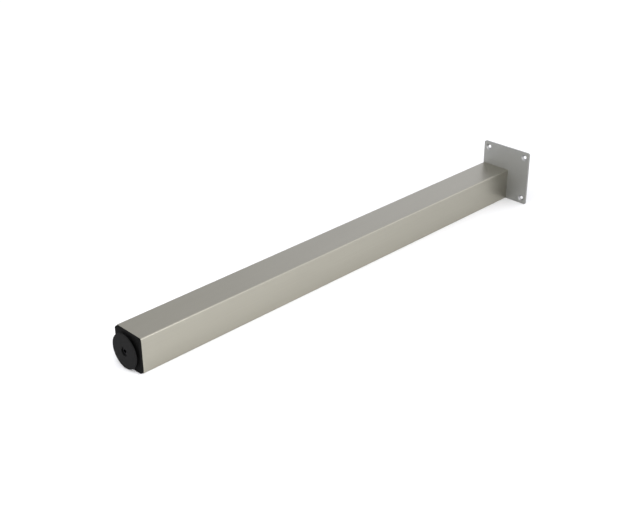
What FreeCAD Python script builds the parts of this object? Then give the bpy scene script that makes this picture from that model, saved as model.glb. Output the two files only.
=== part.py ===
import FreeCAD, Part

import math
import os

from FreeCAD import Vector

# A square metal table leg with a corner-set mounting plate and a screw-adjusted foot, lying as it rests
# on a bench. X runs along the leg, with the mounting plate's outer face at x = 0 and the foot towards -X.
# Z is up, and Y points to the back. The origin is the centre of the plate's outer face. All sizes are in
# millimetres.

# Whole leg, from the table's underside to the ground with the foot screwed right in
leg_height = 750.0

# Square tube
tube_side = 50.0
tube_wall = 1.5
tube_corner_r = 2.0

# Mounting plate, flush with the tube at its back and lower edges
plate_side = 88.0
plate_t = 3.0
plate_corner_r = 3.0
plate_edge_chamfer = 0.3
screw_inset = 9.0
screw_hole_d = 5.0
countersink_d = 10.4
countersink_angle = 90.0

# End cap: a flange over the tube's end and a ribbed plug inside it
flange_t = 3.3
flange_corner_r = 4.0
flange_edge_chamfer = 0.5
plug_depth = 24.0
plug_wall = 2.0
plug_gap = 1.8
plug_corner_r = 2.5
plug_lead_in = 0.8
fin_t = 1.0
fin_pitch = 6.0
fin_first = 4.0
fin_count = 4
fin_corner_r = 1.5
fin_clearance = 0.1
web_t = 2.0
boss_wall = 2.6
boss_depth = 17.0

# Steel nut pressed into the cap's boss from the foot side
thread_d = 8.0
nut_across_flats = 13.0
nut_t = 6.8
nut_chamfer = 0.5
nut_corner_slope = 30.0
nut_sink = 0.5
nut_clearance = 0.05

# Levelling stud: its shank runs through the nut, and its head turns in the foot disc
stud_radial_play = 0.05
stud_bore_clearance = 0.3
foot_travel = 15.0
stud_run_out = 8.0
stud_tip_chamfer = 1.0
head_d = 14.0
head_t = 2.6
head_chamfer = 0.4
key_across_flats = 5.0
key_depth = 4.2
key_drill_angle = 118.0

# Foot disc: a thin moulded disc, with a hub and tapered ribs on its hidden side
foot_gap = 1.0
foot_d = 48.0
foot_t = 5.2
foot_web_t = 2.2
foot_edge_r = 1.0
foot_hub_wall = 2.2
foot_rib_t = 1.4
foot_rib_count = 8
foot_rib_drop = 0.6
foot_rib_margin = 1.6
head_axial_play = 0.1
head_radial_play = 0.2
snap_lip_t = 0.6
snap_lip_grip = 0.35
key_hole_d = 12.0

# Places that follow from the sizes
leg_y = (plate_side - tube_side) / 2
leg_z = -(plate_side - tube_side) / 2
foot_height = flange_t + foot_gap + foot_t
tube_length = leg_height - plate_t - foot_height
tube_top_x = -plate_t
tube_end_x = tube_top_x - tube_length
flange_face_x = tube_end_x - flange_t
ground_x = -leg_height
foot_top_x = ground_x + foot_t
tube_inside = tube_side - 2 * tube_wall
plug_side = tube_inside - 2 * plug_gap
boss_end_x = tube_end_x + boss_depth
nut_outer_x = flange_face_x + nut_sink
nut_inner_x = nut_outer_x + nut_t
boss_d = nut_across_flats / math.cos(math.pi / 6) + 2 * boss_wall
head_top_x = foot_top_x - snap_lip_t - head_axial_play
head_ground_x = head_top_x - head_t
stud_tip_x = nut_inner_x + foot_travel + stud_run_out
stud_d = thread_d - 2 * stud_radial_play

# How far a cutting tool runs past the face it starts from
overrun = 1.0


def round_bar(diameter, x_from, x_to):
    """A cylinder on the leg's axis."""
    start = Vector(x_from, leg_y, leg_z)
    return Part.makeCylinder(diameter / 2, x_to - x_from, start, Vector(1, 0, 0))


def cone_bar(d_from, d_to, x_from, x_to):
    """A cone on the leg's axis."""
    start = Vector(x_from, leg_y, leg_z)
    return Part.makeCone(d_from / 2, d_to / 2, x_to - x_from, start, Vector(1, 0, 0))


def square_bar(side, corner_r, x_from, x_to, y=leg_y, z=leg_z):
    """A square bar along X with rounded long edges."""
    corner = Vector(x_from, y - side / 2, z - side / 2)
    bar = Part.makeBox(x_to - x_from, side, side, corner)
    return bar.makeFillet(corner_r, edges_along_x(bar)) if corner_r > 0 else bar


def hex_bar(across_flats, x_from, x_to):
    """A hexagonal bar on the leg's axis, with two of its corners at the top."""
    reach = across_flats / math.cos(math.pi / 6) / 2
    points = [hex_point(reach, i, x_from) for i in range(7)]
    return Part.Face(Part.makePolygon(points)).extrude(Vector(x_to - x_from, 0, 0))


def hex_point(reach, index, x):
    """A corner of a hexagon round the leg's axis, counted from the +Y side."""
    angle = math.radians(60 * (index % 6))
    return Vector(x, leg_y + reach * math.cos(angle), leg_z + reach * math.sin(angle))


def edges_along_x(shape):
    """The straight edges of a shape that run along X."""
    return [e for e in shape.Edges if e.BoundBox.YLength < 1e-6 and e.BoundBox.ZLength < 1e-6]


def edges_at_x(shape, x):
    """The edges of a shape that lie wholly in the plane at x."""
    return [e for e in shape.Edges if abs(e.BoundBox.XMin - x) < 1e-6 and abs(e.BoundBox.XMax - x) < 1e-6]


def make_leg_tube():
    """The tube, open at both ends."""
    outer = square_bar(tube_side, tube_corner_r, tube_end_x, tube_top_x)
    inner_r = max(tube_corner_r - tube_wall, 0)
    return outer.cut(square_bar(tube_inside, inner_r, tube_end_x - overrun, tube_top_x + overrun))


def screw_places():
    """Hole centres at the plate's corners, apart from the one that the tube covers."""
    reach = plate_side / 2 - screw_inset
    return [(reach, reach), (-reach, reach), (-reach, -reach)]


def screw_hole(y, z):
    """A through hole with its countersink on the face towards the leg."""
    start = Vector(-plate_t - overrun, y, z)
    hole = Part.makeCylinder(screw_hole_d / 2, plate_t + 2 * overrun, start, Vector(1, 0, 0))
    slope = math.tan(math.radians(countersink_angle / 2))
    mouth_r = countersink_d / 2 + overrun * slope
    sink = Part.makeCone(mouth_r, 0, mouth_r / slope, start, Vector(1, 0, 0))
    return hole.fuse(sink)


def make_mounting_plate():
    """The plate with its three countersunk screw holes."""
    plate = square_bar(plate_side, plate_corner_r, -plate_t, 0, y=0, z=0)
    plate = plate.makeChamfer(plate_edge_chamfer, edges_at_x(plate, -plate_t) + edges_at_x(plate, 0))
    for y, z in screw_places():
        plate = plate.cut(screw_hole(y, z))
    return plate


def cap_plug():
    """The hollow plug inside the tube, with fins that meet the tube's walls."""
    end_x = tube_end_x + plug_depth
    plug = square_bar(plug_side, plug_corner_r, flange_face_x + flange_t / 2, end_x)
    plug = plug.makeChamfer(plug_lead_in, edges_at_x(plug, end_x))
    for i in range(fin_count):
        start = tube_end_x + fin_first + i * fin_pitch
        side = tube_inside - 2 * fin_clearance
        plug = plug.fuse(square_bar(side, fin_corner_r, start, start + fin_t))
    inner_r = plug_corner_r - plug_wall
    return plug.cut(square_bar(plug_side - 2 * plug_wall, inner_r, tube_end_x, end_x + overrun))


def cap_boss():
    """The boss that holds the nut, tied to the plug's walls by four webs."""
    boss = round_bar(boss_d, tube_end_x - flange_t / 2, boss_end_x)
    span = plug_side - plug_wall
    for across_y in (True, False):
        dy, dz = (span, web_t) if across_y else (web_t, span)
        corner = Vector(tube_end_x - flange_t / 2, leg_y - dy / 2, leg_z - dz / 2)
        boss = boss.fuse(Part.makeBox(boss_end_x - corner.x, dy, dz, corner))
    return boss


def make_end_cap():
    """The cap as one moulding: flange, ribbed plug and nut boss."""
    flange = square_bar(tube_side, flange_corner_r, flange_face_x, tube_end_x)
    flange = flange.makeChamfer(flange_edge_chamfer, edges_at_x(flange, flange_face_x))
    cap = flange.fuse([cap_plug(), cap_boss()])
    pocket = hex_bar(nut_across_flats + 2 * nut_clearance, flange_face_x - overrun, nut_inner_x)
    bore = round_bar(thread_d + 2 * stud_bore_clearance, nut_inner_x - overrun, boss_end_x + overrun)
    return cap.cut([pocket, bore]).removeSplitter()


def make_thread_nut():
    """A hexagon nut with chamfered corners and a plain bore in place of its thread."""
    nut = hex_bar(nut_across_flats, nut_outer_x, nut_inner_x)
    corner_d = nut_across_flats / math.cos(math.pi / 6)
    face_d = nut_across_flats
    rise = (corner_d - face_d) / 2 * math.tan(math.radians(nut_corner_slope))
    barrel = round_bar(corner_d, nut_outer_x + rise, nut_inner_x - rise)
    barrel = barrel.fuse(cone_bar(face_d, corner_d, nut_outer_x, nut_outer_x + rise))
    barrel = barrel.fuse(cone_bar(corner_d, face_d, nut_inner_x - rise, nut_inner_x))
    nut = nut.common(barrel)
    bore = round_bar(thread_d, nut_outer_x - overrun, nut_inner_x + overrun)
    mouths = [
        cone_bar(thread_d + 2 * nut_chamfer, thread_d, nut_outer_x, nut_outer_x + nut_chamfer),
        cone_bar(thread_d, thread_d + 2 * nut_chamfer, nut_inner_x - nut_chamfer, nut_inner_x),
    ]
    return nut.cut([bore] + mouths)


def make_levelling_stud():
    """The stud as it is turned, with a key socket in its head's ground side."""
    head = round_bar(head_d, head_ground_x, head_top_x)
    head = head.makeChamfer(head_chamfer, edges_at_x(head, head_ground_x) + edges_at_x(head, head_top_x))
    shank = round_bar(stud_d, head_top_x - head_t / 2, stud_tip_x)
    shank = shank.makeChamfer(stud_tip_chamfer, edges_at_x(shank, stud_tip_x))
    socket_end = head_ground_x + key_depth
    socket = hex_bar(key_across_flats, head_ground_x - overrun, socket_end)
    drill_tip = key_across_flats / 2 / math.tan(math.radians(key_drill_angle / 2))
    drill = cone_bar(key_across_flats, 0, socket_end, socket_end + drill_tip)
    return head.fuse(shank).cut([socket, drill])


def foot_ribs(hub_r, web_x):
    """Radial ribs that taper from the top of the foot disc's hub to its edge."""
    inner = hub_r - foot_hub_wall / 2
    outer = foot_d / 2 - foot_rib_margin
    root_x = web_x - foot_web_t / 2
    top_x = foot_top_x - foot_rib_drop
    outline = [(root_x, inner), (top_x, inner), (top_x, hub_r), (web_x, outer), (root_x, outer)]
    points = [Vector(x, leg_y + r, leg_z - foot_rib_t / 2) for x, r in outline + outline[:1]]
    rib = Part.Face(Part.makePolygon(points)).extrude(Vector(0, 0, foot_rib_t))
    turns = [360 * (i + 0.5) / foot_rib_count for i in range(foot_rib_count)]
    return [rib.rotated(Vector(0, leg_y, leg_z), Vector(1, 0, 0), turn) for turn in turns]


def make_foot_disc():
    """The moulded foot disc, with the snap seat for the stud's head and the hole for its key."""
    seat_d = head_d + 2 * head_radial_play
    hub_d = seat_d + 2 * foot_hub_wall
    web_x = ground_x + foot_web_t
    disc = round_bar(foot_d, ground_x, web_x)
    disc = disc.makeFillet(foot_edge_r, edges_at_x(disc, ground_x))
    hub = round_bar(hub_d, web_x - foot_web_t / 2, foot_top_x)
    disc = disc.fuse([hub] + foot_ribs(hub_d / 2, web_x))
    seat = round_bar(seat_d, head_ground_x - head_axial_play, head_top_x + head_axial_play)
    mouth = round_bar(head_d - 2 * snap_lip_grip, head_top_x, foot_top_x + overrun)
    key_hole = round_bar(key_hole_d, ground_x - overrun, head_top_x)
    return disc.cut([seat, mouth, key_hole]).removeSplitter()


def main():
    """Builds every piece and writes one STEP file for each."""
    os.makedirs("parts", exist_ok=True)
    pieces = {
        "leg_tube": make_leg_tube(),
        "mounting_plate": make_mounting_plate(),
        "end_cap": make_end_cap(),
        "thread_nut": make_thread_nut(),
        "levelling_stud": make_levelling_stud(),
        "foot_disc": make_foot_disc(),
    }
    for name, shape in pieces.items():
        shape.exportStep(f"parts/{name}.step")
        box = shape.BoundBox
        print(name, len(shape.Solids), "solid", shape.isValid(), round(shape.Volume, 1),
              [round(v, 2) for v in (box.XMin, box.XMax, box.YMin, box.YMax, box.ZMin, box.ZMax)])


main()
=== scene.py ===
"""Models a square metal table leg: brushed tube, satin plate and black levelling foot, on a pale stage."""

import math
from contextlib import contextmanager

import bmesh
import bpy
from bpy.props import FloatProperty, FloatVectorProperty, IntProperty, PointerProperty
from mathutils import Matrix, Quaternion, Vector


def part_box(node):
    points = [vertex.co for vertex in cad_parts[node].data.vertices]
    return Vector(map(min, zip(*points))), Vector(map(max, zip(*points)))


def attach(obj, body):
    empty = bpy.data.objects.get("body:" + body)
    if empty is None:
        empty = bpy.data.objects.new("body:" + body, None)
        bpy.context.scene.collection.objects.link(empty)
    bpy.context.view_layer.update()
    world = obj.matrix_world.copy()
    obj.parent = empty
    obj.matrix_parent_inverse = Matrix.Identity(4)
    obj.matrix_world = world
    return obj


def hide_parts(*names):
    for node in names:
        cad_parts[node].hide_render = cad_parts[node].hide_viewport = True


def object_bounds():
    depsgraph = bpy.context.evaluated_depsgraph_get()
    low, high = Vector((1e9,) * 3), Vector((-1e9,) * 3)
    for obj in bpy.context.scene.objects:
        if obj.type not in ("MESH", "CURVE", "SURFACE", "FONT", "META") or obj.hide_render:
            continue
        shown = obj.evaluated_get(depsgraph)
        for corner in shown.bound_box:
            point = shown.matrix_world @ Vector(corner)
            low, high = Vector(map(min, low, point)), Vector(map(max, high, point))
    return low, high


bl_info = {
    "name": "Square Metal Table Leg",
    "version": (1, 0, 0),
    "blender": (4, 5, 0),
    "location": "View3D > Sidebar > Table Leg",
    "description": "Models and finishes a square metal table leg with a levelling foot, and sets its stage",
    "category": "Add Mesh",
}

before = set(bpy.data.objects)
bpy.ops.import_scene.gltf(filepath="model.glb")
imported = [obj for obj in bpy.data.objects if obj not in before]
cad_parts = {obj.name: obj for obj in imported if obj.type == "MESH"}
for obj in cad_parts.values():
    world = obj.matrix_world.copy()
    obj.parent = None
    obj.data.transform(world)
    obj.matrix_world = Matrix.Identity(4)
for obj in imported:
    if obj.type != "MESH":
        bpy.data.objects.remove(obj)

MM = 0.001
CAD_LOW, CAD_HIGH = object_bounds()
TUBE_LOW, TUBE_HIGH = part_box("leg_tube")
PLATE_LOW, PLATE_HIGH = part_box("mounting_plate")
CAP_LOW, CAP_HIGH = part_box("end_cap")
NUT_LOW, NUT_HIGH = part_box("thread_nut")
STUD_LOW, STUD_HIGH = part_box("levelling_stud")
DISC_LOW, DISC_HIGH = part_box("foot_disc")

# The leg's long axis is a line along X through this point
AXIS = (TUBE_LOW + TUBE_HIGH) / 2
TUBE_SIDE = TUBE_HIGH.y - TUBE_LOW.y
PLATE_SIDE = PLATE_HIGH.y - PLATE_LOW.y
NUT_FLATS = NUT_HIGH.z - NUT_LOW.z
HEAD_DIAMETER = STUD_HIGH.y - STUD_LOW.y
DISC_RADIUS = (DISC_HIGH.y - DISC_LOW.y) / 2

# Facets of round shapes
CORNER_STEPS = 8
HOLE_STEPS = 64
TURNED_STEPS = 96
THREAD_STEPS = 48

# How far a cutting shape runs past what it cuts, and how near two places count as one
OVERRUN = 1 * MM
SAME_PLACE = 0.001 * MM

# Edges that turn by more than this are rounded, on the sawn tube and round the plate's holes
SAWN_EDGE = math.radians(60)
HOLE_EDGE = math.radians(40)

# Edges that turn by more than this stay crisp in smooth shading
CRISP_EDGE = math.radians(30)

# Slopes of the thread's flanks, of the nut's chamfers and of the cone that a drill leaves
FLANK_SLOPE = math.tan(math.radians(60))
CHAMFER_SLOPE = math.tan(math.radians(30))
DRILL_SLOPE = math.tan(math.radians(31))

# The floor's width, and the nearest and furthest that the camera sees, in metres
FLOOR_SIZE = 40
NEAREST, FURTHEST = 0.01, 100
SENSOR_WIDTH_MM = 36


def colour(name, description, value):
    """A colour that a user can change."""
    return FloatVectorProperty(name=name, description=description, default=value, subtype="COLOR",
                               size=3, min=0, max=1)


def length(name, description, value):
    """A length in metres that a user can change."""
    return FloatProperty(name=name, description=description, default=value, unit="LENGTH", min=0, precision=5)


def share(name, description, value):
    """A share from 0 to 1 that a user can change."""
    return FloatProperty(name=name, description=description, default=value, subtype="FACTOR", min=0, max=1)


class TubeShape(bpy.types.PropertyGroup):
    """Sizes of the square tube that its outer box doesn't give."""
    wall: length("Wall", "Thickness of the tube's wall", 1.5 * MM)
    corner_radius: length("Corner radius", "Rounding of the long edges, outside", 2 * MM)
    inner_radius: length("Inner radius", "Rounding of the long edges, inside", 0.5 * MM)
    deburr: length("Deburring", "Rounding of the edges at the sawn ends", 0.15 * MM)


class PlateShape(bpy.types.PropertyGroup):
    """Sizes of the mounting plate and its countersunk holes."""
    corner_radius: length("Corner radius", "Rounding of the plate's corners", 3 * MM)
    edge_radius: length("Edge radius", "Rounding of the plate's sheared edges", 0.3 * MM)
    hole_inset: length("Hole inset", "From the plate's edges to a hole's centre", 9 * MM)
    hole_diameter: length("Hole diameter", "Narrow end of a screw hole", 5 * MM)
    sink_diameter: length("Countersink diameter", "Wide end of a screw hole", 10.4 * MM)
    hole_deburr: length("Hole deburring", "Rounding of the holes' edges", 0.12 * MM)


class CapShape(bpy.types.PropertyGroup):
    """Sizes of the end cap: a flange, a ribbed hollow plug and a boss for the nut."""
    flange: length("Flange", "Thickness of the flange", 3.3 * MM)
    corner_radius: length("Corner radius", "Rounding of the flange's corners", 4 * MM)
    edge_radius: length("Edge radius", "Rounding of the flange's outer edge", 0.6 * MM)
    plug_gap: length("Plug gap", "From the tube's wall to the plug", 1.8 * MM)
    plug_wall: length("Plug wall", "Thickness of the plug's wall", 2 * MM)
    plug_radius: length("Plug radius", "Rounding of the plug's corners", 2.5 * MM)
    lead_in: length("Lead-in", "Chamfer at the plug's inner end", 0.8 * MM)
    fin: length("Fin", "Thickness of a gripping fin", 1 * MM)
    fin_first: length("First fin", "From the flange to the first fin", 4 * MM)
    fin_pitch: length("Fin pitch", "From one fin to the next", 6 * MM)
    fin_radius: length("Fin radius", "Rounding of a fin's corners", 1.5 * MM)
    fin_clearance: length("Fin clearance", "From a fin to the tube's wall", 0.1 * MM)
    fin_count: IntProperty(name="Fins", description="Number of gripping fins", default=4, min=0)
    web: length("Web", "Thickness of the four webs", 2 * MM)
    boss_wall: length("Boss wall", "From the nut's corners to the outside of the boss", 2.6 * MM)
    boss_depth: length("Boss depth", "From the flange to the boss's inner end", 17 * MM)
    pocket_clearance: length("Pocket clearance", "Between the nut's flats and its pocket", 0.05 * MM)
    bore: length("Bore", "Clear hole for the stud behind the nut", 8.6 * MM)


class ThreadShape(bpy.types.PropertyGroup):
    """Sizes of the thread on the stud and in the nut."""
    diameter: length("Diameter", "Outer diameter of the stud's thread", 7.9 * MM)
    pitch: length("Pitch", "From one turn to the next", 1.25 * MM)
    play: length("Play", "How much wider the nut's thread is than the stud's, on the radius", 0.05 * MM)
    crest: share("Crest", "Flat width of the thread's tips, as a share of the pitch", 0.125)
    root: share("Root", "Flat width of the thread's valleys, as a share of the pitch", 0.25)


class StudShape(bpy.types.PropertyGroup):
    """Sizes of the levelling stud's head."""
    head: length("Head", "Thickness of the head", 2.6 * MM)
    head_edge: length("Head edge", "Rounding of the head's rims", 0.4 * MM)
    neck: length("Neck", "Plain length between the head and the thread", 1 * MM)
    neck_diameter: length("Neck diameter", "Width of the plain length", 6.5 * MM)
    tip_chamfer: length("Tip chamfer", "Chamfer at the threaded end", 1 * MM)
    key: length("Key", "Width of the key socket across its flats", 5 * MM)
    key_depth: length("Key depth", "Depth of the key socket", 4.2 * MM)


class DiscShape(bpy.types.PropertyGroup):
    """Sizes of the foot disc."""
    web: length("Web", "Thickness of the disc", 2.2 * MM)
    edge_radius: length("Edge radius", "Rounding of the disc's ground edge", 1 * MM)
    hub_wall: length("Hub wall", "Thickness of the hub round the stud's head", 2.2 * MM)
    rib: length("Rib", "Thickness of a rib", 1.4 * MM)
    rib_drop: length("Rib drop", "How far the ribs stop below the hub's top", 0.6 * MM)
    rib_margin: length("Rib margin", "From a rib's outer end to the disc's edge", 1.6 * MM)
    rib_count: IntProperty(name="Ribs", description="Number of ribs", default=8, min=1)
    seat_play: length("Seat play", "Room round the stud's head", 0.2 * MM)
    end_play: length("End play", "Room above and below the stud's head", 0.1 * MM)
    lip: length("Lip", "Height of the lip that the head snaps under", 0.6 * MM)
    lip_grip: length("Lip grip", "How far the lip reaches over the head", 0.35 * MM)
    key_hole: length("Key hole", "Diameter of the hole for the key", 12 * MM)
    soft_edge: length("Soft edge", "Rounding of the moulded inner edges", 0.2 * MM)


class SteelFinish(bpy.types.PropertyGroup):
    """Colours and grain of the steel pieces."""
    tube_colour: colour("Tube colour", "Tone of the brushed tube", (0.351, 0.337, 0.287))
    tube_roughness: share("Tube roughness", "How soft the tube's reflections are", 0.36)
    brush_depth: length("Brush depth", "Depth of the tube's brush lines", 0.1 * MM)
    plate_colour: colour("Plate colour", "Grey tone of the satin plate", (0.308, 0.309, 0.296))
    plate_roughness: share("Plate roughness", "How soft the plate's reflections are", 0.6)
    plate_grain: length("Plate grain", "Depth of the plate's grain", 0.012 * MM)
    cut_colour: colour("Cut colour", "Bright tone of the drilled and sunk holes", (0.33, 0.33, 0.33))
    cut_polish: share("Cut polish", "How much less rough the holes are than the plate", 0.05)
    zinc_colour: colour("Zinc colour", "Bluish tone of the plated nut", (0.60, 0.62, 0.64))
    zinc_roughness: share("Zinc roughness", "How soft the nut's reflections are", 0.355)
    black_colour: colour("Black colour", "Tone of the blackened stud", (0.011, 0.011, 0.012))
    black_roughness: share("Black roughness", "How soft the stud's reflections are", 0.48)


class PlasticFinish(bpy.types.PropertyGroup):
    """Colour and grain of the black mouldings."""
    # The cap's black is darker than the disc's black over the whole cap: painted shade for the dark gap
    # between the disc and the flange
    cap_colour_with_painted_shade: colour("Cap colour", "Black of the end cap", (0.004, 0.004, 0.004))
    disc_colour: colour("Disc colour", "Black of the foot disc", (0.009, 0.009, 0.009))
    plastic_roughness: share("Plastic roughness", "How matt the plastic is", 0.7)
    plastic_gloss: share("Plastic gloss", "Strength of the plastic's sheen", 0.05)
    plastic_grain: length("Plastic grain", "Depth of the plastic's grain", 0.02 * MM)


class StageSettings(bpy.types.PropertyGroup):
    """Where the camera stands and how bright the studio is."""
    azimuth: FloatProperty(name="Azimuth", description="Camera's bearing round the leg",
                           default=math.radians(-44.69), subtype="ANGLE")
    elevation: FloatProperty(name="Elevation", description="Camera's height above the horizon",
                             default=math.radians(27.08), subtype="ANGLE")
    roll: FloatProperty(name="Roll", description="Camera's turn about its own axis",
                        default=math.radians(-0.30), subtype="ANGLE")
    distance: length("Distance", "From the camera to the point that it looks at", 1.548)
    target: FloatVectorProperty(name="Target", description="Point that the camera looks at",
                                default=(-0.3959, 0.0397, -0.0190), subtype="TRANSLATION", unit="LENGTH")
    lens: FloatProperty(name="Lens", description="Focal length in millimetres", default=60.95, min=10)
    sky: FloatProperty(name="Sky", description="Brightness of the studio's pale walls", default=1.11, min=0)
    sky_tint: colour("Sky tint", "Tone of the studio's walls", (0.964, 0.968, 1.0))
    sky_along: share("Sky along", "How much brighter the walls are beyond the mounting plate", 0.18)
    sky_across: share("Sky across", "How much brighter the walls are in front of the leg", 0.495)
    floor_colour: colour("Floor colour", "Tone of the floor", (0.85, 0.85, 0.85))
    floor_roughness: share("Floor roughness", "How matt the floor is", 0.9)
    floor_glow: share("Floor glow", "Light that whitens the floor in the picture", 0.02)
    back_tint: colour("Back tint", "Tone of the cool light behind", (0.69, 0.73, 1.0))


class TableLegSettings(bpy.types.PropertyGroup):
    """All settings of the leg."""
    tube: PointerProperty(type=TubeShape, name="Tube", description="Sizes of the tube")
    plate: PointerProperty(type=PlateShape, name="Plate", description="Sizes of the mounting plate")
    cap: PointerProperty(type=CapShape, name="Cap", description="Sizes of the end cap")
    thread: PointerProperty(type=ThreadShape, name="Thread", description="Sizes of the thread")
    stud: PointerProperty(type=StudShape, name="Stud", description="Sizes of the levelling stud")
    disc: PointerProperty(type=DiscShape, name="Disc", description="Sizes of the foot disc")
    steel: PointerProperty(type=SteelFinish, name="Steel", description="Finish of the steel pieces")
    plastic: PointerProperty(type=PlasticFinish, name="Plastic", description="Finish of the black pieces")
    stage: PointerProperty(type=StageSettings, name="Stage", description="Camera and lights")


def settings():
    """The add-on's settings, kept on the scene."""
    return bpy.context.scene.table_leg


class Link:
    """One output of a shader node. Arithmetic on it adds Math nodes to its material."""

    def __init__(self, finish, output):
        self.finish = finish
        self.output = output

    def math(self, operation, first, second):
        return self.finish.node("ShaderNodeMath", {"operation": operation}, {0: first, 1: second})

    def __add__(self, other):
        return self.math("ADD", self, other)

    __radd__ = __add__

    def __mul__(self, other):
        return self.math("MULTIPLY", self, other)

    __rmul__ = __mul__

    def __sub__(self, other):
        return self.math("SUBTRACT", self, other)

    def __rsub__(self, other):
        return self.math("SUBTRACT", other, self)

    def __pow__(self, other):
        return self.math("POWER", self, other)

    def __lt__(self, other):
        return self.math("LESS_THAN", self, other)


class Finish:
    """A material, or the studio's world, that is built up node by node."""

    def __init__(self, owner):
        self.owner = owner
        owner.use_nodes = True
        self.tree = owner.node_tree
        self.tree.nodes.clear()

    def node(self, kind, options=None, inputs=None, output=0):
        """Adds a node: first its options, then the values or links of its sockets. Returns one output."""
        made = self.tree.nodes.new(kind)
        for name, value in (options or {}).items():
            setattr(made, name, value)
        for name, value in (inputs or {}).items():
            if isinstance(value, Link):
                self.tree.links.new(value.output, made.inputs[name])
            else:
                made.inputs[name].default_value = value
        return Link(self, made.outputs[output]) if len(made.outputs) else None

    def place(self):
        """Object coordinates in metres."""
        return self.node("ShaderNodeTexCoord", output="Object")

    def stretched(self, scale):
        """Object coordinates, multiplied along each axis."""
        return self.node("ShaderNodeMapping", {}, {"Vector": self.place(), "Scale": scale})

    def axes(self, vector):
        """The X, Y and Z parts of a vector."""
        split = self.node("ShaderNodeSeparateXYZ", {}, {"Vector": vector})
        return [Link(self, part) for part in split.output.node.outputs]

    def noise(self, vector, detail, scale=1.0):
        """Smooth noise from 0 to 1. Without a scale it follows a vector that is stretched already."""
        return self.node("ShaderNodeTexNoise", {"noise_dimensions": "3D"},
                         {"Vector": vector, "Scale": scale, "Detail": detail})

    def mix(self, factor, first, second):
        """One colour blended into another."""
        return self.node("ShaderNodeMix", {"data_type": "RGBA"},
                         {"Factor": factor, "A": first, "B": second}, output="Result")

    def shades(self, factor, values, darkest, lightest):
        """One colour that varies from a darker to a lighter shade of itself."""
        return self.mix(factor, rgba(values, darkest), rgba(values, lightest))

    def bump(self, height, distance):
        """A normal that follows a height."""
        return self.node("ShaderNodeBump", {}, {"Height": height, "Distance": distance})

    def surface(self, shader, kind="ShaderNodeOutputMaterial"):
        """Sends a shader to the output, and returns the finished material or world."""
        self.node(kind, {}, {"Surface": shader})
        return self.owner


def rgba(values, times=1.0):
    """A colour with its alpha, made darker or lighter by a factor."""
    return (*[value * times for value in values], 1.0)


def about(middle, factor, spread):
    """A value that varies round its middle, as wide as its spread, with a factor from 0 to 1."""
    return middle + (factor - 0.5) * spread


def brushed_steel():
    """Steel with fine brush lines along the leg."""
    steel = settings().steel
    f = Finish(bpy.data.materials.new("brushed_steel"))
    hairs = f.noise(f.stretched((14, 3200, 3200)), detail=3)
    streaks = f.noise(f.stretched((5, 380, 380)), detail=2)
    clouds = f.noise(f.stretched((7, 30, 30)), detail=3)
    shade = streaks * 0.35 + clouds * 0.4 + hairs * 0.25
    rough = about(about(steel.tube_roughness, streaks, spread=0.08), hairs, spread=0.14)
    shader = f.node("ShaderNodeBsdfPrincipled", {}, {
        "Base Color": f.shades(shade, steel.tube_colour, darkest=0.9, lightest=1.1),
        "Metallic": 1.0,
        "Roughness": rough,
        "Normal": f.bump(hairs * 0.7 + streaks * 0.3, steel.brush_depth),
    })
    return f.surface(shader)


def screw_places():
    """Centres of the plate's holes, as (y, z). The tube covers the fourth corner."""
    reach = PLATE_SIDE / 2 - settings().plate.hole_inset
    return (reach, reach), (-reach, reach), (-reach, -reach)


def in_screw_holes(f):
    """A mask that is 1 on the walls of the plate's screw holes."""
    x, y, z = f.axes(f.place())
    shape = settings().plate
    away = (((y - hole_y) ** 2 + (z - hole_z) ** 2) ** 0.5 for hole_y, hole_z in screw_places())
    inside = sum(radius < shape.sink_diameter / 2 for radius in away)
    return inside * (x < PLATE_HIGH.x - shape.hole_deburr)


def satin_steel():
    """Grey steel of the mounting plate, with a fine grain all ways and bright cut holes."""
    steel = settings().steel
    f = Finish(bpy.data.materials.new("satin_steel"))
    grain = f.noise(f.place(), scale=1800, detail=2)
    clouds = f.noise(f.place(), scale=38, detail=4)
    cut = in_screw_holes(f)
    face = f.shades(clouds * 0.7 + grain * 0.3, steel.plate_colour, darkest=0.9, lightest=1.1)
    rough = about(about(steel.plate_roughness, clouds, spread=0.12), grain, spread=0.1)
    shader = f.node("ShaderNodeBsdfPrincipled", {}, {
        "Base Color": f.mix(cut, face, rgba(steel.cut_colour)),
        "Metallic": 1.0,
        "Roughness": rough - cut * steel.cut_polish,
        "Normal": f.bump(grain, steel.plate_grain),
    })
    return f.surface(shader)


def black_plastic(name, tone):
    """Moulded black plastic with a fine matt grain."""
    plastic = settings().plastic
    f = Finish(bpy.data.materials.new(name))
    grain = f.noise(f.place(), scale=1500, detail=2)
    haze = f.noise(f.place(), scale=90, detail=3)
    shader = f.node("ShaderNodeBsdfPrincipled", {}, {
        "Base Color": f.shades(haze * 0.6 + grain * 0.4, tone, darkest=0.8, lightest=1.3),
        "Roughness": about(plastic.plastic_roughness, haze, spread=0.2),
        "Specular IOR Level": plastic.plastic_gloss,
        "Normal": f.bump(grain, plastic.plastic_grain),
    })
    return f.surface(shader)


def zinc_steel():
    """Bright zinc plating of the nut."""
    steel = settings().steel
    f = Finish(bpy.data.materials.new("zinc_steel"))
    clouds = f.noise(f.place(), scale=260, detail=3)
    shader = f.node("ShaderNodeBsdfPrincipled", {}, {
        "Base Color": f.shades(clouds, steel.zinc_colour, darkest=0.9, lightest=1.1),
        "Metallic": 1.0,
        "Roughness": about(steel.zinc_roughness, clouds, spread=0.15),
    })
    return f.surface(shader)


def blackened_steel():
    """Blackened steel of the stud, slightly oily."""
    steel = settings().steel
    f = Finish(bpy.data.materials.new("blackened_steel"))
    clouds = f.noise(f.place(), scale=420, detail=3)
    shader = f.node("ShaderNodeBsdfPrincipled", {}, {
        "Base Color": f.shades(clouds, steel.black_colour, darkest=0.7, lightest=1.4),
        "Metallic": 1.0,
        "Roughness": about(steel.black_roughness, clouds, spread=0.2),
    })
    return f.surface(shader)


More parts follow.
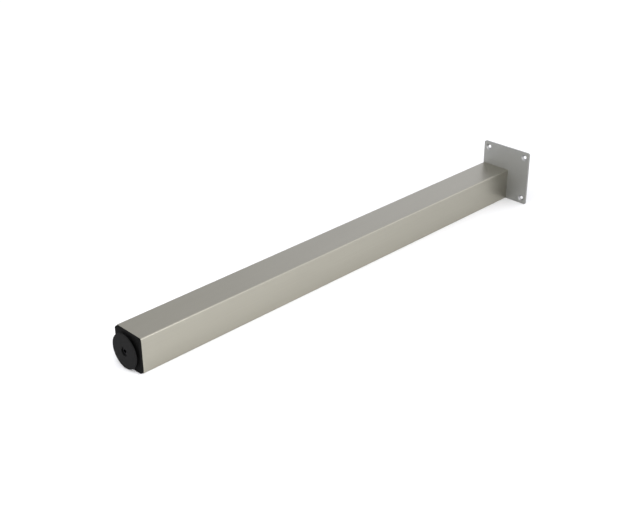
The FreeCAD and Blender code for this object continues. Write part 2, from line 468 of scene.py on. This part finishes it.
def deselect_all():
    """Leaves edit mode and selects nothing."""
    if bpy.context.mode != "OBJECT":
        bpy.ops.object.mode_set(mode="OBJECT")
    bpy.ops.object.select_all(action="DESELECT")


def select_only(piece):
    """Makes one piece the selected and active object."""
    deselect_all()
    piece.select_set(True)
    bpy.context.view_layer.objects.active = piece


@contextmanager
def editing(piece):
    """Edit mode on one piece."""
    select_only(piece)
    bpy.ops.object.mode_set(mode="EDIT")
    yield
    bpy.ops.object.mode_set(mode="OBJECT")


def pick_edges(piece, wanted):
    """In edit mode, selects the edges that pass a test, and no others."""
    bpy.ops.mesh.select_mode(type="EDGE")
    bpy.ops.mesh.select_all(action="DESELECT")
    found = [edge for edge in bmesh.from_edit_mesh(piece.data).edges if wanted(edge)]
    if not found:
        raise RuntimeError(f"{piece.name}: nothing to select")
    for edge in found:
        edge.select_set(True)
    bmesh.update_edit_mesh(piece.data)


def runs_along_x(edge):
    """True for an edge that is parallel to the leg."""
    first, second = (vert.co for vert in edge.verts)
    return abs(first.x - second.x) > SAME_PLACE and (first - second).yz.length < SAME_PLACE


def lies_at_x(edge, x):
    """True for an edge that lies wholly at x."""
    return all(abs(vert.co.x - x) < SAME_PLACE for vert in edge.verts)


def is_ring_edge(edge, x, radius):
    """True for an edge of a circle round the leg's axis."""
    return lies_at_x(edge, x) and all(abs((vert.co - AXIS).yz.length - radius) < SAME_PLACE
                                      for vert in edge.verts)


def bevel_edges(piece, wanted, radius, segments):
    """In edit mode, bevels the edges that pass a test."""
    pick_edges(piece, wanted)
    bpy.ops.mesh.bevel(offset=radius, segments=segments, affect="EDGES")


def bevel_ends(piece, ends, radius, segments=1):
    """Bevels the outlines of a piece at one or both of its ends, given as places along X."""
    with editing(piece):
        bevel_edges(piece, lambda edge: any(lies_at_x(edge, x) for x in ends), radius, segments)


def merge_doubles():
    """In edit mode, merges vertices that lie in the same place."""
    bpy.ops.mesh.select_all(action="SELECT")
    bpy.ops.mesh.remove_doubles(threshold=SAME_PLACE)


def face_outwards():
    """In edit mode, turns every face outwards."""
    bpy.ops.mesh.select_all(action="SELECT")
    bpy.ops.mesh.normals_make_consistent(inside=False)


def settle(piece, name):
    """Names a piece and moves its place into its mesh."""
    piece.name = name
    piece.data.name = name
    bpy.ops.object.transform_apply(location=True, rotation=True, scale=True)
    return piece


def apply_modifier(piece, kind, **options):
    """Adds a modifier to a piece, sets it and applies it."""
    select_only(piece)
    modifier = piece.modifiers.new(kind.lower(), kind)
    for name, value in options.items():
        setattr(modifier, name, value)
    bpy.ops.object.modifier_apply(modifier=modifier.name)


def deburr(piece, width, angle):
    """Rounds every edge that turns by more than an angle."""
    apply_modifier(piece, "BEVEL", width=width, segments=2, limit_method="ANGLE", angle_limit=angle)


def combine(piece, operation, *others):
    """Unites a piece with others, or cuts or crops it with them. The others are used up."""
    for other in others:
        apply_modifier(piece, "BOOLEAN", operation=operation, object=other, solver="EXACT")
        bpy.data.objects.remove(other)
    return piece


def square_bar(name, side, corner_radius, x_from, x_to, y=AXIS.y, z=AXIS.z):
    """A square bar along X with rounded long edges."""
    deselect_all()
    centre = Vector(((x_from + x_to) / 2, y, z))
    bpy.ops.mesh.primitive_cube_add(size=1, location=centre, scale=(x_to - x_from, side, side))
    bar = settle(bpy.context.object, name)
    with editing(bar):
        bevel_edges(bar, runs_along_x, corner_radius, CORNER_STEPS)
    return bar


def square_tube(name, side, corner_radius, wall, inner_radius, x_from, x_to):
    """A square tube along X, open at both ends."""
    bore = square_bar("bore", side - 2 * wall, inner_radius, x_from - OVERRUN, x_to + OVERRUN)
    return combine(square_bar(name, side, corner_radius, x_from, x_to), "DIFFERENCE", bore)


def round_bar(name, diameter, x_from, x_to, sides=TURNED_STEPS):
    """A bar on the leg's axis, round or with as many sides as asked for. One corner points to +Y."""
    deselect_all()
    bpy.ops.mesh.primitive_cylinder_add(vertices=sides, radius=diameter / 2, depth=x_to - x_from,
                                        location=((x_from + x_to) / 2, AXIS.y, AXIS.z),
                                        rotation=(0, math.pi / 2, 0))
    return settle(bpy.context.object, name)


def across_corners(across_flats):
    """Width of a hexagon from corner to corner."""
    return across_flats / math.cos(math.pi / 6)


def hex_bar(name, across_flats, x_from, x_to):
    """A hexagonal bar on the leg's axis."""
    return round_bar(name, across_corners(across_flats), x_from, x_to, sides=6)


def flat_box(name, x_from, x_to, width, height):
    """A box centred on the leg's axis."""
    deselect_all()
    bpy.ops.mesh.primitive_cube_add(size=1, location=((x_from + x_to) / 2, AXIS.y, AXIS.z),
                                    scale=(x_to - x_from, width, height))
    return settle(bpy.context.object, name)


def drawn_line(name, points, z=0.0):
    """A line of edges from one vertex, extruded step by step. Points are (x, y)."""
    deselect_all()
    start = Vector((*points[0], z))
    bpy.ops.mesh.primitive_plane_add(size=OVERRUN, location=start)
    line = settle(bpy.context.object, name)
    with editing(line):
        bpy.ops.mesh.select_mode(type="VERT")
        bpy.ops.mesh.select_all(action="SELECT")
        bpy.ops.mesh.merge(type="CENTER")
        for before, after in zip(points, points[1:]):
            step = (after[0] - before[0], after[1] - before[1], 0)
            bpy.ops.mesh.extrude_region_move(TRANSFORM_OT_translate={"value": step})
    return line


def turned(name, section, y=AXIS.y, z=AXIS.z, steps=TURNED_STEPS):
    """A turned solid: its half section, as (x, radius) points, is spun round a line along X."""
    solid = drawn_line(name, [(x, y + radius) for x, radius in section], z)
    with editing(solid):
        bpy.ops.mesh.select_all(action="SELECT")
        bpy.ops.mesh.spin(steps=steps, angle=2 * math.pi, center=(0, y, z), axis=(1, 0, 0))
        merge_doubles()
        face_outwards()
    return solid


def threaded_bar(name, diameter, x_from, x_to):
    """A bar with a right-hand thread, cut off square at both ends."""
    thread = settings().thread
    pitch = thread.pitch
    crest, root = thread.crest * pitch, thread.root * pitch
    flank = (pitch - crest - root) / 2
    outer = diameter / 2
    inner = outer - flank * FLANK_SLOPE
    # Half a step off the pitch, so that the cuts at the ends meet no vertex
    start = (math.floor(x_from / pitch) - 1 + 0.5 / THREAD_STEPS) * pitch
    turns = math.ceil((x_to - start) / pitch) + 1
    section = [(start, inner), (start + root, inner), (start + root + flank, outer),
               (start + root + flank + crest, outer), (start + pitch, inner)]
    bar = drawn_line(name, section)
    apply_modifier(bar, "SCREW", axis="X", screw_offset=pitch, iterations=turns, steps=THREAD_STEPS,
                   render_steps=THREAD_STEPS)
    with editing(bar):
        merge_doubles()
        for x, outward in ((x_from, -1), (x_to, 1)):
            bpy.ops.mesh.select_all(action="SELECT")
            bpy.ops.mesh.bisect(plane_co=(x, 0, 0), plane_no=(outward, 0, 0), use_fill=True, clear_outer=True)
        face_outwards()
    bar.location = (0, AXIS.y, AXIS.z)
    return settle(bar, name)


def smooth(piece):
    """Smooth shading with crisp edges, steered by the large faces."""
    select_only(piece)
    bpy.ops.object.shade_smooth_by_angle(angle=CRISP_EDGE)
    apply_modifier(piece, "WEIGHTED_NORMAL", keep_sharp=True, weight=100)


def hand_over(piece, node, body, material):
    """Puts a finished piece in the place of a node, on its body and with its material."""
    if not piece.data.polygons:
        raise RuntimeError(f"{piece.name} came out empty")
    piece.data.materials.clear()
    piece.data.materials.append(material)
    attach(piece, body)
    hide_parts(node)


class LEG_OT_tube(bpy.types.Operator):
    """Models the square tube, with its brushed finish"""
    bl_idname = "table_leg.tube"
    bl_label = "Tube"

    def execute(self, context):
        shape = settings().tube
        tube = square_tube("tube", TUBE_SIDE, shape.corner_radius, shape.wall, shape.inner_radius,
                           TUBE_LOW.x, TUBE_HIGH.x)
        deburr(tube, shape.deburr, SAWN_EDGE)
        smooth(tube)
        hand_over(tube, "leg_tube", "leg", brushed_steel())
        return {"FINISHED"}


class LEG_OT_plate(bpy.types.Operator):
    """Models the mounting plate with its countersunk holes"""
    bl_idname = "table_leg.plate"
    bl_label = "Mounting plate"

    def execute(self, context):
        shape = settings().plate
        plate = square_bar("plate", PLATE_SIDE, shape.corner_radius, PLATE_LOW.x, PLATE_HIGH.x, y=0, z=0)
        bevel_ends(plate, (PLATE_LOW.x, PLATE_HIGH.x), shape.edge_radius, segments=3)
        for y, z in screw_places():
            combine(plate, "DIFFERENCE", self.screw_hole(y, z))
        deburr(plate, shape.hole_deburr, HOLE_EDGE)
        smooth(plate)
        hand_over(plate, "mounting_plate", "leg", satin_steel())
        return {"FINISHED"}

    def screw_hole(self, y, z):
        """A countersunk hole as a solid, wide towards the leg."""
        shape = settings().plate
        narrow, wide = shape.hole_diameter / 2, shape.sink_diameter / 2
        section = [(PLATE_LOW.x - OVERRUN, 0), (PLATE_LOW.x - OVERRUN, wide + OVERRUN),
                   (PLATE_LOW.x + wide - narrow, narrow), (PLATE_HIGH.x + OVERRUN, narrow),
                   (PLATE_HIGH.x + OVERRUN, 0)]
        return turned("screw_hole", section, y, z, HOLE_STEPS)


class LEG_OT_cap(bpy.types.Operator):
    """Models the end cap: flange, ribbed plug and nut boss"""
    bl_idname = "table_leg.cap"
    bl_label = "End cap"

    def execute(self, context):
        cap = self.flange()
        combine(cap, "UNION", self.plug(), *self.fins(), *self.boss())
        shape = settings().cap
        flats = NUT_FLATS + 2 * shape.pocket_clearance
        pocket = hex_bar("pocket", flats, CAP_LOW.x - OVERRUN, NUT_HIGH.x)
        bore = round_bar("bore", shape.bore, NUT_HIGH.x - OVERRUN, CAP_HIGH.x + OVERRUN, HOLE_STEPS)
        combine(cap, "DIFFERENCE", pocket, bore)
        smooth(cap)
        # A darker copy of the disc's plastic: painted shade for the gap behind the disc, laid over the whole
        # cap
        finish = black_plastic("black_cap_plastic_with_painted_shade", settings().plastic.cap_colour_with_painted_shade)
        hand_over(cap, "end_cap", "leg", finish)
        return {"FINISHED"}

    def flange(self):
        """The flange that covers the tube's end."""
        shape = settings().cap
        flange = square_bar("cap", TUBE_SIDE, shape.corner_radius, CAP_LOW.x, CAP_LOW.x + shape.flange)
        bevel_ends(flange, (CAP_LOW.x,), shape.edge_radius, segments=4)
        return flange

    def plug_side(self):
        """Outer width of the plug."""
        return TUBE_SIDE - 2 * (settings().tube.wall + settings().cap.plug_gap)

    def plug(self):
        """The hollow plug, which starts inside the flange."""
        shape = settings().cap
        side = self.plug_side()
        start = CAP_LOW.x + shape.flange / 2
        plug = square_bar("plug", side, shape.plug_radius, start, CAP_HIGH.x)
        bevel_ends(plug, (CAP_HIGH.x,), shape.lead_in)
        hollow = square_bar("hollow", side - 2 * shape.plug_wall, shape.plug_radius - shape.plug_wall,
                            start - OVERRUN, CAP_HIGH.x + OVERRUN)
        return combine(plug, "DIFFERENCE", hollow)

    def fins(self):
        """The square rings that grip the tube's inside."""
        shape = settings().cap
        side = TUBE_SIDE - 2 * (settings().tube.wall + shape.fin_clearance)
        hollow = side - 2 * (shape.plug_gap - shape.fin_clearance + shape.plug_wall / 2)
        first = CAP_LOW.x + shape.flange + shape.fin_first
        for index in range(shape.fin_count):
            start = first + index * shape.fin_pitch
            end = start + shape.fin
            inside = square_bar("inside", hollow, shape.fin_radius, start - OVERRUN, end + OVERRUN)
            fin = square_bar("fin", side, shape.fin_radius, start, end)
            yield combine(fin, "DIFFERENCE", inside)

    def boss(self):
        """The round boss for the nut, and the webs that tie it to the plug."""
        shape = settings().cap
        start = CAP_LOW.x + shape.flange / 2
        end = CAP_LOW.x + shape.flange + shape.boss_depth
        span = self.plug_side() - shape.plug_wall
        yield flat_box("web", start, end, span, shape.web)
        yield flat_box("web", start, end, shape.web, span)
        yield round_bar("boss", across_corners(NUT_FLATS) + 2 * shape.boss_wall, start, end, HOLE_STEPS)


class LEG_OT_nut(bpy.types.Operator):
    """Models the hexagon nut with its inside thread"""
    bl_idname = "table_leg.nut"
    bl_label = "Nut"

    def execute(self, context):
        thread = settings().thread
        nut = hex_bar("nut", NUT_FLATS, NUT_LOW.x, NUT_HIGH.x)
        bore = thread.diameter + 2 * thread.play
        combine(nut, "INTERSECT", self.barrel())
        combine(nut, "DIFFERENCE", threaded_bar("tap", bore, NUT_LOW.x - OVERRUN, NUT_HIGH.x + OVERRUN))
        smooth(nut)
        hand_over(nut, "thread_nut", "leg", zinc_steel())
        return {"FINISHED"}

    def barrel(self):
        """The turned shape that gives the nut its chamfered corners."""
        flat, corner = NUT_FLATS / 2, across_corners(NUT_FLATS) / 2
        rise = (corner - flat) * CHAMFER_SLOPE
        section = [(NUT_LOW.x, 0), (NUT_LOW.x, flat), (NUT_LOW.x + rise, corner),
                   (NUT_HIGH.x - rise, corner), (NUT_HIGH.x, flat), (NUT_HIGH.x, 0)]
        return turned("barrel", section)


class LEG_OT_stud(bpy.types.Operator):
    """Models the levelling stud: thread, neck, head and key socket"""
    bl_idname = "table_leg.stud"
    bl_label = "Levelling stud"

    def execute(self, context):
        shape = settings().stud
        diameter = settings().thread.diameter
        head_end = STUD_LOW.x + shape.head
        stud = threaded_bar("stud", diameter, head_end - shape.head / 2, STUD_HIGH.x + OVERRUN)
        combine(stud, "INTERSECT", self.blank(diameter, head_end))
        combine(stud, "UNION", self.head(head_end))
        socket_end = STUD_LOW.x + shape.key_depth
        socket = hex_bar("socket", shape.key, STUD_LOW.x - OVERRUN, socket_end)
        combine(stud, "DIFFERENCE", socket, self.drill_tip(socket_end))
        smooth(stud)
        hand_over(stud, "levelling_stud", "stud", blackened_steel())
        return {"FINISHED"}

    def blank(self, diameter, head_end):
        """The shank before its thread is cut, with a narrow neck and a chamfered tip."""
        shape = settings().stud
        neck, outer = shape.neck_diameter / 2, diameter / 2 + OVERRUN
        tip = diameter / 2 - shape.tip_chamfer
        neck_end = head_end + shape.neck
        start = head_end - shape.head / 2
        section = [(start, 0), (start, neck), (neck_end, neck), (neck_end + outer - neck, outer),
                   (STUD_HIGH.x - shape.tip_chamfer - OVERRUN, outer), (STUD_HIGH.x, tip), (STUD_HIGH.x, 0)]
        return turned("blank", section)

    def head(self, head_end):
        """The flat round head."""
        head = round_bar("head", HEAD_DIAMETER, STUD_LOW.x, head_end)
        bevel_ends(head, (STUD_LOW.x, head_end), settings().stud.head_edge, segments=3)
        return head

    def drill_tip(self, x_from):
        """The cone that a drill leaves at the bottom of the key socket."""
        radius = settings().stud.key / 2
        point = x_from + radius * DRILL_SLOPE
        section = [(x_from - OVERRUN, 0), (x_from - OVERRUN, radius), (x_from, radius), (point, 0)]
        return turned("drill_tip", section, steps=HOLE_STEPS)


class LEG_OT_disc(bpy.types.Operator):
    """Models the foot disc with its hub, its ribs and the stud's seat"""
    bl_idname = "table_leg.disc"
    bl_label = "Foot disc"

    def execute(self, context):
        shape = settings().disc
        disc = turned("disc", self.section())
        rims = ((DISC_LOW.x, shape.key_hole / 2), (DISC_LOW.x + shape.web, DISC_RADIUS),
                (DISC_HIGH.x, self.hub()))
        with editing(disc):
            bevel_edges(disc, lambda edge: is_ring_edge(edge, DISC_LOW.x, DISC_RADIUS), shape.edge_radius,
                        segments=6)
            bevel_edges(disc, lambda edge: any(is_ring_edge(edge, *rim) for rim in rims), shape.soft_edge,
                        segments=2)
        combine(disc, "UNION", *self.ribs())
        smooth(disc)
        finish = black_plastic("black_foot_plastic", settings().plastic.disc_colour)
        hand_over(disc, "foot_disc", "foot", finish)
        return {"FINISHED"}

    def hub(self):
        """Radius of the hub."""
        shape = settings().disc
        return HEAD_DIAMETER / 2 + shape.seat_play + shape.hub_wall

    def section(self):
        """Half section of the disc, its hub and the seat for the stud's head."""
        shape = settings().disc
        head = HEAD_DIAMETER / 2
        ground, top = DISC_LOW.x, DISC_HIGH.x
        back = ground + shape.web
        seat = head + shape.seat_play
        seat_low, seat_high = STUD_LOW.x - shape.end_play, top - shape.lip
        mouth, hole = head - shape.lip_grip, shape.key_hole / 2
        return [(ground, hole), (ground, DISC_RADIUS), (back, DISC_RADIUS), (back, self.hub()),
                (top, self.hub()), (top, mouth), (seat_high, mouth), (seat_high, seat), (seat_low, seat),
                (seat_low, hole), (ground, hole)]

    def ribs(self):
        """The tapered ribs, one modelled and the rest copied round the axis."""
        shape = settings().disc
        root = DISC_LOW.x + shape.web / 2
        back, top = DISC_LOW.x + shape.web, DISC_HIGH.x - shape.rib_drop
        inner = self.hub() - shape.hub_wall / 2
        outer = DISC_RADIUS - shape.rib_margin
        section = [(root, inner), (top, inner), (top, self.hub()), (back, outer), (root, outer),
                   (root, inner)]
        rib = drawn_line("rib", [(x, AXIS.y + radius) for x, radius in section], AXIS.z - shape.rib / 2)
        with editing(rib):
            merge_doubles()
            bpy.ops.mesh.edge_face_add()
            bpy.ops.mesh.extrude_region_move(TRANSFORM_OT_translate={"value": (0, 0, shape.rib)})
            face_outwards()
        step = 2 * math.pi / shape.rib_count
        for index in range(shape.rib_count):
            select_only(rib)
            bpy.ops.object.duplicate()
            copy = bpy.context.object
            bpy.ops.transform.rotate(value=(index + 0.5) * step, orient_axis="X", center_override=AXIS)
            yield settle(copy, "rib_copy")
        bpy.data.objects.remove(rib)


def floor_material(stage):
    """Pale floor that keeps shadows, and glows a little to the camera and in reflections."""
    f = Finish(bpy.data.materials.new("pale_floor"))
    seen = (f.node("ShaderNodeLightPath", output="Is Camera Ray")
            + f.node("ShaderNodeLightPath", output="Is Glossy Ray")
            + f.node("ShaderNodeLightPath", output="Is Transmission Ray"))
    shader = f.node("ShaderNodeBsdfPrincipled", {}, {
        "Base Color": rgba(stage.floor_colour),
        "Roughness": stage.floor_roughness,
        "Specular IOR Level": 0.0,
        "Emission Color": rgba((1, 1, 1)),
        "Emission Strength": seen * stage.floor_glow,
    })
    return f.surface(shader)


def add_floor(stage):
    """The floor that the leg lies on."""
    deselect_all()
    bpy.ops.mesh.primitive_plane_add(size=FLOOR_SIZE, location=(0, 0, CAD_LOW.z))
    floor = bpy.context.object
    floor.name = "floor"
    floor.data.materials.append(floor_material(stage))


def add_camera(stage):
    """The camera, at its distance from its target and turned to it."""
    target = Vector(stage.target)
    flat = math.cos(stage.elevation)
    back = Vector((math.sin(stage.azimuth) * flat, -math.cos(stage.azimuth) * flat,
                   math.sin(stage.elevation)))
    turn = (-back).to_track_quat("-Z", "Y") @ Quaternion((0, 0, 1), stage.roll)
    bpy.ops.object.camera_add(location=target + back * stage.distance, rotation=turn.to_euler())
    camera = bpy.context.object
    camera.data.sensor_width = SENSOR_WIDTH_MM
    camera.data.lens = stage.lens
    camera.data.clip_start, camera.data.clip_end = NEAREST, FURTHEST
    bpy.context.scene.camera = camera


def add_softbox(name, place, aim, width, height, brightness, tint=(1, 1, 1)):
    """A soft light of a given brightness at its face, turned to a point."""
    turn = (Vector(aim) - Vector(place)).to_track_quat("-Z", "Y")
    bpy.ops.object.light_add(type="AREA", location=place, rotation=turn.to_euler())
    light = bpy.context.object
    light.name = name
    light.data.shape = "RECTANGLE"
    light.data.size, light.data.size_y = width, height
    light.data.energy = brightness * width * height * math.pi
    light.data.color = tint


def add_world(stage):
    """Studio walls, brighter in front and beyond the mounting plate than behind and beyond the foot."""
    f = Finish(bpy.data.worlds.new("studio"))
    x, y, _ = f.axes(f.node("ShaderNodeTexCoord", output="Generated"))
    shader = f.node("ShaderNodeBackground", {}, {
        "Color": rgba(stage.sky_tint),
        "Strength": stage.sky * (1 + stage.sky_along * x - stage.sky_across * y),
    })
    bpy.context.scene.world = f.surface(shader, "ShaderNodeOutputWorld")


class LEG_OT_stage(bpy.types.Operator):
    """Adds the floor, the lights and the camera"""
    bl_idname = "table_leg.stage"
    bl_label = "Stage"

    def execute(self, context):
        stage = settings().stage
        add_floor(stage)
        add_world(stage)
        add_softbox("edge_box", place=(0.9, -0.55, 0.75), aim=(0.9, 0, 0), width=0.8, height=0.16,
                    brightness=2.0)
        add_softbox("foot_box", place=(-0.66, -0.72, 0.21), aim=(-0.77, -0.02, 0), width=0.66, height=0.42,
                    brightness=2.2)
        add_softbox("corner_box", place=(-0.9, -1.0, 0.9), aim=(-0.75, -0.1, -0.04), width=1.0, height=0.6,
                    brightness=2.7)
        add_softbox("left_box", place=(-1.9, 0.7, 0.9), aim=(-0.6, 0, 0), width=2.3, height=1.7,
                    brightness=1.75)
        add_softbox("back_box", place=(1.3, 1.2, 0.85), aim=(-0.3, 0, 0), width=1.4, height=0.8,
                    brightness=0.25, tint=stage.back_tint)
        add_camera(stage)
        context.scene.view_settings.view_transform = "Standard"
        return {"FINISHED"}


class LEG_PT_panel(bpy.types.Panel):
    """Lists the leg's pieces and the stage"""
    bl_idname = "LEG_PT_panel"
    bl_label = "Table Leg"
    bl_space_type = "VIEW_3D"
    bl_region_type = "UI"
    bl_category = "Table Leg"

    def draw(self, context):
        for operator in OPERATORS:
            self.layout.operator(operator.bl_idname)


OPERATORS = (LEG_OT_tube, LEG_OT_plate, LEG_OT_cap, LEG_OT_nut, LEG_OT_stud, LEG_OT_disc, LEG_OT_stage)
GROUPS = (TubeShape, PlateShape, CapShape, ThreadShape, StudShape, DiscShape, SteelFinish, PlasticFinish,
          StageSettings, TableLegSettings)


def register():
    for cls in (*GROUPS, *OPERATORS, LEG_PT_panel):
        bpy.utils.register_class(cls)
    bpy.types.Scene.table_leg = PointerProperty(type=TableLegSettings, name="Table leg",
                                                description="Settings of the table leg")


def unregister():
    del bpy.types.Scene.table_leg
    for cls in reversed((*GROUPS, *OPERATORS, LEG_PT_panel)):
        bpy.utils.unregister_class(cls)


def main():
    register()
    for operator in OPERATORS:
        group, name = operator.bl_idname.split(".")
        getattr(getattr(bpy.ops, group), name)()


if __name__ == "__main__":
    main()
